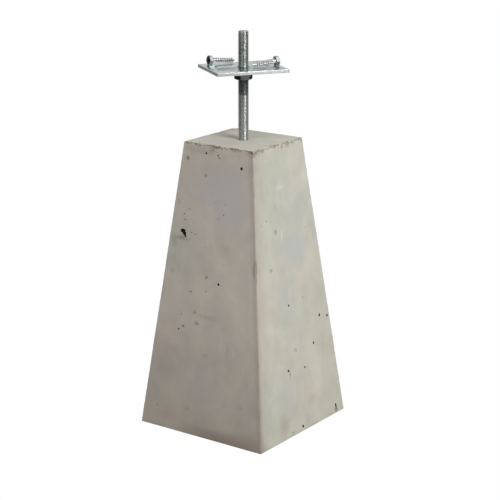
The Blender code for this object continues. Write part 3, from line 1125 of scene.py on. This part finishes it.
# Reach of the masks: the broken line round the top, the strips by the front corner, the heights
# of the foot and of the lower half, and the painted shade on the top's half away from the key light
RAGGED_REACH = 5 * MM
TOP_LINE_LEAST = 1.4 * MM
TOP_LINE_SPAN = 4.5 * MM
FLANK_WIDTH = 36 * MM
CORNER_STRIP = (2 * MM, 11 * MM)
FOOT_REACH = 100 * MM
LOW_REACH = (90 * MM, 220 * MM)
TOP_SHADE_REACH = (-10 * MM, 45 * MM)
# Share of the half width from which a point counts as near a face, and as on it
NEAR_FACE = (0.92, 1.0)
ON_FACE = (0.975, 0.995)
STAIN_COLOURS = {
    "violet": rgb(0.505, 0.50, 0.50),
    "blue": rgb(0.485, 0.495, 0.485),
    "warm": rgb(0.58, 0.53, 0.43),
    "olive": rgb(0.36, 0.335, 0.25),
    "brown": rgb(0.27, 0.225, 0.19),
    "grey": rgb(0.25, 0.24, 0.215),
    "pale": rgb(0.70, 0.69, 0.65),
    "pink": rgb(0.46, 0.37, 0.34),
    "rust": rgb(0.36, 0.26, 0.20),
    "stain": rgb(0.24, 0.17, 0.145),
}


def cement_group():
    """The cloudy colour and the fine grain of cast cement."""
    tree, given, output = shader_group(
        "cement clouds", [("Place", VECTOR, (0, 0, 0))], [("Color", COLOR), ("Height", FLOAT)]
    )
    place = given["Place"]
    clouds = noise(tree, place, 7.0, 3.0, 0.55)
    patches = noise(tree, place.shifted((3.1, 0.4, 7.7)), 15.0, 3.0, 0.55, 0.6)
    mottle = noise(tree, place.scaled(1, 1, 0.75), 52.0, 4.0, 0.55)
    grain = noise(tree, place, 650.0, 2.0)
    colour = mixed(tree, clouds.ramp(0.38, 0.62), CEMENT_WARM, CEMENT_COOL)
    tone = (patches - 0.5) * 0.40 + (mottle - 0.5) * 0.24 + (grain - 0.5) * 0.10 + 1
    feed(tree, output.inputs["Color"], colour.multiplied(tone))
    feed(tree, output.inputs["Height"], grain * 0.6 + mottle * 1.4)
    return tree


def edge_group():
    """Masks that follow the block's form.

    Top Arris is a ragged line of broken cement round the top. Corner and Flank are strips along
    the arris between front and right, on the front face and on the right face. Front is the whole
    front face, Foot and Low the lowest part and the lower half of any face, Top the half of the top
    away from the key light, which takes painted shade.
    """
    tree, given, output = shader_group(
        "block edges",
        [("Place", VECTOR, (0, 0, 0))],
        [
            ("Top Arris", FLOAT),
            ("Corner", FLOAT),
            ("Flank", FLOAT),
            ("Front", FLOAT),
            ("Foot", FLOAT),
            ("Low", FLOAT),
            ("Top", FLOAT),
        ],
    )
    place = given["Place"]
    x, y, z = place.split()
    half = z * ((BLOCK_TOP - BLOCK_BASE) / 2 / BLOCK_HEIGHT) + BLOCK_BASE / 2
    out = abs(x).at_least(abs(y))
    ragged = (noise(tree, place, 110.0, 4.0, 0.7) - 0.5) * RAGGED_REACH
    cover = noise(tree, place, 46.0, 2.0).ramp(0.42, 0.62)
    from_top = (BLOCK_HEIGHT - z).at_least(half - out)
    reach = cover * TOP_LINE_SPAN + TOP_LINE_LEAST
    line = ((from_top + ragged).at_least(0.0) / reach).ramp(0.3, 1.0, 1.0, 0.0)
    feed(tree, output.inputs["Top Arris"], line * (cover * 0.6 + 0.4))
    on_front = (-y / half).ramp(*ON_FACE)
    on_right = (x / half).ramp(*ON_FACE)
    feed(tree, output.inputs["Front"], (-y / half).ramp(*NEAR_FACE))
    from_front = (half + y) + ragged
    flank = from_front.ramp(0.0, FLANK_WIDTH, 1.0, 0.0) * on_right
    feed(tree, output.inputs["Flank"], flank * z.ramp(0.0, 0.30, 0.85, 1.0))
    from_arris = (half - x) + ragged
    feed(tree, output.inputs["Corner"], from_arris.ramp(*CORNER_STRIP, 1.0, 0.0) * on_front)
    feed(tree, output.inputs["Foot"], (z + ragged * 5).ramp(0.0, FOOT_REACH, 1.0, 0.0))
    feed(tree, output.inputs["Low"], z.ramp(*LOW_REACH, 1.0, 0.0, True))
    # Painted shade on the top's half away from the key light
    on_top = z.ramp(BLOCK_HEIGHT - 2 * MM, BLOCK_HEIGHT - 1 * MM)
    feed(tree, output.inputs["Top"], on_top * x.ramp(*TOP_SHADE_REACH, 1.0, 0.0, True))
    return tree


def stain_group():
    """Every soft stain of the table, laid over a colour."""
    spot_tree, given, output = shader_group(
        "stain",
        [
            ("Color", COLOR, rgb(0.5, 0.5, 0.5)),
            ("Place", VECTOR, (0, 0, 0)),
            ("Spot", VECTOR, (0, 0, 0)),
            ("Reach", VECTOR, (1, 1, 1)),
            ("Stain", COLOR, rgb(0.5, 0.5, 0.5)),
            ("Strength", FLOAT, 0.5),
        ],
        [("Color", COLOR)],
    )
    apart = given["Place"].vector_math("SUBTRACT", given["Spot"])
    length = apart.vector_math("DIVIDE", given["Reach"]).vector_math("LENGTH", output=1)
    mask = length.ramp(0.1, 1.0, 1.0, 0.0, True) * given["Strength"]
    feed(spot_tree, output.inputs["Color"], mixed(spot_tree, mask, given["Color"], given["Stain"]))

    tree, given, output = shader_group(
        "stains",
        [("Color", COLOR, rgb(0.5, 0.5, 0.5)), ("Place", VECTOR, (0, 0, 0))],
        [("Color", COLOR)],
    )
    swirl = add_node(
        tree, "ShaderNodeTexNoise", {"Vector": given["Place"], "Scale": 120.0, "Detail": 3.0}
    )
    warp = wire(tree, swirl, 1).shifted((-0.5, -0.5, -0.5)).scaled(*[STAIN_WARP] * 3)
    place = given["Place"].shifted(warp)
    speckle = noise(tree, given["Place"], 330.0, 3.0, 0.6).ramp(0.44, 0.58)
    colour = given["Color"]
    for face, rows in STAINS.items():
        for across, up, width, height, kind, strength in rows:
            if kind == "stain":
                strength = speckle * strength
            reach = [width / 2 * MM, STAIN_THROUGH, height / 2 * MM]
            if face in ("right", "left"):
                reach = [STAIN_THROUGH, width / 2 * MM, height / 2 * MM]
            colour = group_node(
                tree,
                spot_tree,
                {
                    "Color": colour,
                    "Place": place,
                    "Spot": face_place(face, across, up).translation,
                    "Reach": reach,
                    "Stain": STAIN_COLOURS[kind],
                    "Strength": strength,
                },
            )["Color"]
    feed(tree, output.inputs["Color"], colour)
    return tree


def add_bump(tree, shader, strength, depth, height):
    """Gives a shader the fine relief of a height."""
    values = {"Strength": strength, "Distance": depth, "Height": height}
    feed(tree, shader.inputs["Normal"], add_node(tree, "ShaderNodeBump", values))


CEMENT_ROUGHNESS = (0.86, 0.96)
CEMENT_GLOSS = 0.3
CEMENT_GRAIN = 0.35
CEMENT_GRAIN_DEPTH = 0.25 * MM
ZINC_GRAIN_DEPTH = 0.1 * MM


def concrete_finish(name, groups, tint_and_painted_shade):
    """Cast concrete. Painted shade dims open voids; filled voids and chips get their own colour."""
    made, tree, shader, place = new_material(name)
    cement = group_node(tree, groups["cement"], {"Place": place})
    edges = group_node(tree, groups["edges"], {"Place": place})
    colour = group_node(tree, groups["stains"], {"Color": cement["Color"], "Place": place})["Color"]
    front = edges["Front"]
    # Partly the front's own pinkish colour, partly painted warm fill light
    colour = mixed(tree, front, colour, FRONT_TINT_AND_FILL_LIGHT, "MULTIPLY")
    colour = mixed(tree, front * edges["Low"], colour, LOW_TINT, "MULTIPLY")
    colour = mixed(tree, edges["Flank"], colour, FLANK_TINT, "MULTIPLY")
    # Painted shade on the top's half away from the key light
    colour = mixed(tree, edges["Top"], colour, TOP_SHADE_TINT, "MULTIPLY")
    foot_share = front * FRONT_FOOT_SHARE + FOOT_SHARE
    colour = mixed(tree, edges["Foot"] * foot_share, colour, FOOT_BROWN)
    colour = mixed(tree, edges["Corner"] * CORNER_SHARE, colour, ARRIS_BROWN)
    colour = mixed(tree, edges["Top Arris"] * TOP_ARRIS_SHARE, colour, STAIN_COLOURS["stain"])
    # Painted shade inside open voids, own colour in filled voids and broken edges
    if tint_and_painted_shade is not None:
        colour = mixed(tree, tint_and_painted_shade[3], colour, rgb(*tint_and_painted_shade[:3]))
    feed(tree, shader.inputs["Base Color"], colour)
    rough = noise(tree, place, 40.0).ramp(0.3, 0.7, *CEMENT_ROUGHNESS)
    feed(tree, shader.inputs["Roughness"], rough)
    add_bump(tree, shader, CEMENT_GRAIN, CEMENT_GRAIN_DEPTH, cement["Height"])
    shader.inputs["Specular IOR Level"].default_value = CEMENT_GLOSS
    return made


# Heights between which the rod's thread is darkened as painted shade of the plate, how far the
# band's ends fade and wander, and by how much it darkens
PLATE_SHADE_BAND = (503 * MM, 524 * MM)
PLATE_SHADE_FADE = 2 * MM
PLATE_SHADE_WAVE = 4 * MM
PLATE_SHADE_DARKNESS = 0.5
# Heights over which the rod's tone falls and over which it rises again, with the tones. The fall
# is painted light: lighter near the block as a painted reflection of the bright concrete top,
# darker towards the plate as painted shade.
ROD_DARKENS = (460 * MM, 545 * MM, 1.1, 0.85)
ROD_BRIGHTENS = (568 * MM, 588 * MM, 0.0, 0.15)


def zinc_group():
    """The bloom of zinc: cloudy tone, dull spots and a fine grain."""
    tree, given, output = shader_group(
        "zinc bloom",
        [
            ("Place", VECTOR, (0, 0, 0)),
            ("Scale", FLOAT, 100.0),
            ("Bright", COLOR, rgb(0.7, 0.7, 0.7)),
            ("Dull", COLOR, rgb(0.4, 0.4, 0.4)),
            ("Smooth", FLOAT, 0.2),
            ("Rough", FLOAT, 0.5),
        ],
        [("Color", COLOR), ("Roughness", FLOAT), ("Height", FLOAT)],
    )
    place, scale = given["Place"], given["Scale"]
    bloom = noise(tree, place, scale, 4.0, 0.6, 0.5)
    grain = noise(tree, place, scale * 9, 2.0)
    share = (bloom.ramp(0.35, 0.68) * 0.8 + grain * 0.25).math("ADD", 0.0, clamp=True)
    feed(tree, output.inputs["Color"], mixed(tree, share, given["Bright"], given["Dull"]))
    span = given["Rough"] - given["Smooth"]
    feed(tree, output.inputs["Roughness"], given["Smooth"] + span * share)
    feed(tree, output.inputs["Height"], grain * 0.3 + bloom)
    return tree


def zinc_finish(group, name, scale, bright, dull, gloss, grain, streaks, plate_shade):
    """A zinc-coated steel.

    Streaks under 1 draw its bloom out upwards. The last argument darkens the stretch of thread
    under the nut as painted shade of the plate, and paints the rod's tone along its height.
    """
    made, tree, shader, here = new_material(name)
    place = here.scaled(1, 1, streaks)
    bloom = group_node(
        tree,
        group,
        {
            "Place": place,
            "Scale": scale,
            "Bright": rgb(*bright),
            "Dull": rgb(*dull),
            "Smooth": gloss[0],
            "Rough": gloss[1],
        },
    )
    colour = bloom["Color"]
    if plate_shade:
        # Painted shade of the plate: the thread under the nut is darkened
        low, high = PLATE_SHADE_BAND
        _, _, height = here.split()
        wavy = height + (noise(tree, place, 90.0, 2.0) - 0.5) * PLATE_SHADE_WAVE
        under_plate = wavy.ramp(low - PLATE_SHADE_FADE, low + PLATE_SHADE_FADE)
        under_plate = under_plate * wavy.ramp(high, high + 2 * PLATE_SHADE_FADE, 1.0, 0.0)
        # Painted reflection of the concrete top low on the rod, painted shade towards the plate
        tone_and_painted_light = height.ramp(*ROD_DARKENS) + height.ramp(*ROD_BRIGHTENS)
        colour = colour.multiplied(tone_and_painted_light * (1 - under_plate * PLATE_SHADE_DARKNESS))
    feed(tree, shader.inputs["Base Color"], colour)
    feed(tree, shader.inputs["Roughness"], bloom["Roughness"])
    add_bump(tree, shader, grain, ZINC_GRAIN_DEPTH, bloom["Height"])
    shader.inputs["Metallic"].default_value = 1.0
    return made


# Concrete by its place: its name, and the colour and share laid over a hollow, which is painted
# shade in open voids and the own colour of filled voids and broken edges
CONCRETES = {
    "concrete": ("cast concrete", None),
    # Painted shade: the inside of an open void near black
    "concrete_void_shade": ("void wall", (0.012, 0.010, 0.009, 0.96)),
    "concrete_filled": ("filled void", (0.25, 0.235, 0.21, 0.6)),
    "concrete_chip": ("broken edge", (0.26, 0.2, 0.165, 0.55)),
}
# Zinc by its place: its name, the bloom's scale, its bright and dull colours, its smoothest and
# roughest gloss, and the strength of its grain
ZINCS = {
    "rod": (
        "rod zinc", 160.0, (0.60, 0.645, 0.62), (0.44, 0.47, 0.45), (0.32, 0.44), 0.02,
    ),
    # Painted shade in the rod's thread grooves
    "rod_groove": (
        "rod groove", 160.0, (0.46, 0.48, 0.46), (0.28, 0.29, 0.28), (0.2, 0.35), 0.02,
    ),
    # The nut's dark colour is painted shade under the plate
    "nut": (
        "nut zinc", 120.0, (0.26, 0.275, 0.27), (0.15, 0.16, 0.16), (0.14, 0.26), 0.04,
    ),
    "plate": (
        "plate zinc", 50.0, (0.75, 0.82, 0.83), (0.60, 0.66, 0.67), (0.2, 0.32), 0.02,
    ),
    "plate_edge": (
        "sheared zinc", 420.0, (0.84, 0.88, 0.88), (0.54, 0.56, 0.54), (0.3, 0.5), 0.08,
    ),
    "screw": (
        "screw zinc", 220.0, (0.90, 0.92, 0.94), (0.74, 0.76, 0.79), (0.16, 0.28), 0.03,
    ),
    # Painted shade in the screw's thread grooves
    "screw_groove": (
        "screw groove", 220.0, (0.16, 0.165, 0.175), (0.09, 0.095, 0.10), (0.25, 0.4), 0.03,
    ),
    # A darker copy of the screw's zinc for the head's sides, painted shade to tone down the key
    # light
    "screw_head": (
        "screw head", 220.0, (0.38, 0.40, 0.42), (0.26, 0.275, 0.29), (0.36, 0.5), 0.03,
    ),
    # The head's end painted near black: a painted dark reflection
    "screw_end_dark_reflection": (
        "screw head end", 220.0, (0.06, 0.062, 0.065), (0.03, 0.03, 0.032), (0.2, 0.3), 0.03,
    ),
}
# The streaks of the sheared edge, and the finishes that take the painted shade under the plate
STREAKS = {"plate_edge": 0.08}
PLATE_SHADED = ("rod", "rod_groove")


def finishes():
    """Every material of the part."""
    groups = {"cement": cement_group(), "edges": edge_group(), "stains": stain_group()}
    zinc = zinc_group()
    made = {
        key: concrete_finish(name, groups, tint_and_painted_shade) for key, (name, tint_and_painted_shade) in CONCRETES.items()
    }
    for key, look in ZINCS.items():
        made[key] = zinc_finish(zinc, *look, STREAKS.get(key, 1.0), key in PLATE_SHADED)
    return made


def add_camera():
    data = bpy.data.cameras.new("camera")
    data.lens = LENS
    data.sensor_width = SENSOR_WIDTH
    data.clip_end = 50
    cam = bpy.data.objects.new("camera", data)
    cam.location = CAMERA_PLACE
    cam.rotation_euler = (math.radians(90) + CAMERA_PITCH, 0, CAMERA_TURN)
    bpy.context.scene.collection.objects.link(cam)
    bpy.context.scene.camera = cam


# Where the softboxes point
AIM = Vector((0, 0, 0.30))
# Softboxes: name, bearing from +X and height angle in degrees, distance, width, height, power
# and colour
SOFTBOXES = (
    ("key", -12, 37, 2.4, 0.9, 0.85, 41.0, (0.985, 1.0, 0.985)),
    ("fill", -91, 44, 1.9, 1.2, 1.2, 10.3, (1.0, 0.92, 0.90)),
)


def add_softboxes():
    for name, bearing, rise, distance, width, height, power, colour in SOFTBOXES:
        data = bpy.data.lights.new(name, "AREA")
        data.shape = "RECTANGLE"
        data.size = width
        data.size_y = height
        data.energy = power
        data.color = colour
        light = bpy.data.objects.new(name, data)
        light.visible_camera = False
        turn = Matrix.Rotation(math.radians(bearing), 4, "Z")
        lift = Matrix.Rotation(math.radians(-rise), 4, "Y")
        direction = (turn @ lift @ Vector((1, 0, 0))).normalized()
        light.location = AIM + direction * distance
        light.rotation_euler = direction.to_track_quat("Z", "Y").to_euler()
        bpy.context.scene.collection.objects.link(light)


# Brightness of the studio's far wall, its ceiling, the paper under the key, the paper at the far
# left and the room
FAR_WALL = 0.6
CEILING = 0.26
KEY_PAPER = 1.25
LEFT_PAPER = 0.5
ROOM = 0.025
KEY_PAPER_BEARING = math.radians(-5)
LEFT_PAPER_BEARING = math.radians(158)
# How squarely a ray has to look at the wall or a paper for it to start and to be at its full
FAR_WALL_SIDES = (0.0, 0.8)
KEY_PAPER_SIDES = (0.895, 0.945)
LEFT_PAPER_SIDES = (0.80, 0.93)
# A ray's rise over which each of them starts or ends
FAR_WALL_FOOT = (-0.1, 0.1)
KEY_PAPER_HEAD = (-0.08, 0.02)
LEFT_PAPER_HEAD = (-0.2, -0.14)
PAPER_FOOT = (-0.6, -0.4)
CEILING_START = (0.2, 1.0)


def add_studio():
    """White behind the object, as the camera sees it, and a dim room for light and gloss."""
    world = bpy.data.worlds.new("studio")
    world.use_nodes = True
    tree = world.node_tree
    toward = wire(tree, add_node(tree, "ShaderNodeTexCoord"), 0)

    def facing(bearing):
        direction = (math.cos(bearing), math.sin(bearing), 0)
        return toward.vector_math("DOT_PRODUCT", direction, 1)

    _, _, rise = toward.split()
    back = CAMERA_TURN + math.pi / 2
    glow = facing(back).ramp(*FAR_WALL_SIDES, 0.0, FAR_WALL, True) * rise.ramp(*FAR_WALL_FOOT)
    key_paper = facing(KEY_PAPER_BEARING).ramp(*KEY_PAPER_SIDES, 0.0, KEY_PAPER, True)
    left_paper = facing(LEFT_PAPER_BEARING).ramp(*LEFT_PAPER_SIDES, 0.0, LEFT_PAPER, True)
    low = key_paper * rise.ramp(*KEY_PAPER_HEAD, 1.0, 0.0)
    low = low + left_paper * rise.ramp(*LEFT_PAPER_HEAD, 1.0, 0.0)
    glow = glow + low * rise.ramp(*PAPER_FOOT) + rise.ramp(*CEILING_START, 0.0, CEILING) + ROOM
    room = add_node(tree, "ShaderNodeCombineColor", {0: glow, 1: glow, 2: glow})
    camera_ray = wire(tree, add_node(tree, "ShaderNodeLightPath"), 0)
    seen = mixed(tree, camera_ray, wire(tree, room), rgb(1, 1, 1))
    feed(tree, tree.nodes["Background"].inputs["Color"], seen)
    bpy.context.scene.world = world


# The floor paper's lowest and highest x and y
FLOOR = (-1.1, -1.1, 1.1, 1.1)


def add_floor():
    """A pale floor of studio paper, white to the camera."""
    low_x, low_y, high_x, high_y = FLOOR
    corners = [(low_x, low_y, 0), (high_x, low_y, 0), (high_x, high_y, 0), (low_x, high_y, 0)]
    mesh = bpy.data.meshes.new("floor")
    mesh.from_pydata(corners, [], [(0, 1, 2, 3)])
    made = bpy.data.materials.new("floor paper")
    made.use_nodes = True
    tree = made.node_tree
    shader = tree.nodes["Principled BSDF"]
    shader.inputs["Base Color"].default_value = rgb(0.75, 0.75, 0.74)
    shader.inputs["Roughness"].default_value = 1.0
    white = add_node(tree, "ShaderNodeEmission", {0: rgb(1, 1, 1), 1: 1.0})
    camera_ray = wire(tree, add_node(tree, "ShaderNodeLightPath"), 0)
    both = add_node(tree, "ShaderNodeMixShader", {0: camera_ray, 1: shader, 2: white})
    feed(tree, tree.nodes["Material Output"].inputs["Surface"], both)
    mesh.materials.append(made)
    link("floor", mesh)


add_camera()
add_softboxes()
add_studio()
add_floor()
bpy.context.scene.view_settings.view_transform = "Standard"

paints = finishes()
thread_tree = threaded_bar_tree()
concrete_block(paints)
threaded_rod(thread_tree, paints["rod"], paints["rod_groove"])
levelling_nut(paints["nut"])
bearing_plate(paints["plate"], paints["plate_edge"])
screw_mesh = lag_screw(
    thread_tree,
    paints["screw"],
    paints["screw_groove"],
    paints["screw_head"],
    paints["screw_end_dark_reflection"],
)
lay_screw("screw_left", "lag_screw_left", screw_mesh, LEFT_SCREW)
lay_screw("screw_right", "lag_screw_right", screw_mesh, RIGHT_SCREW)
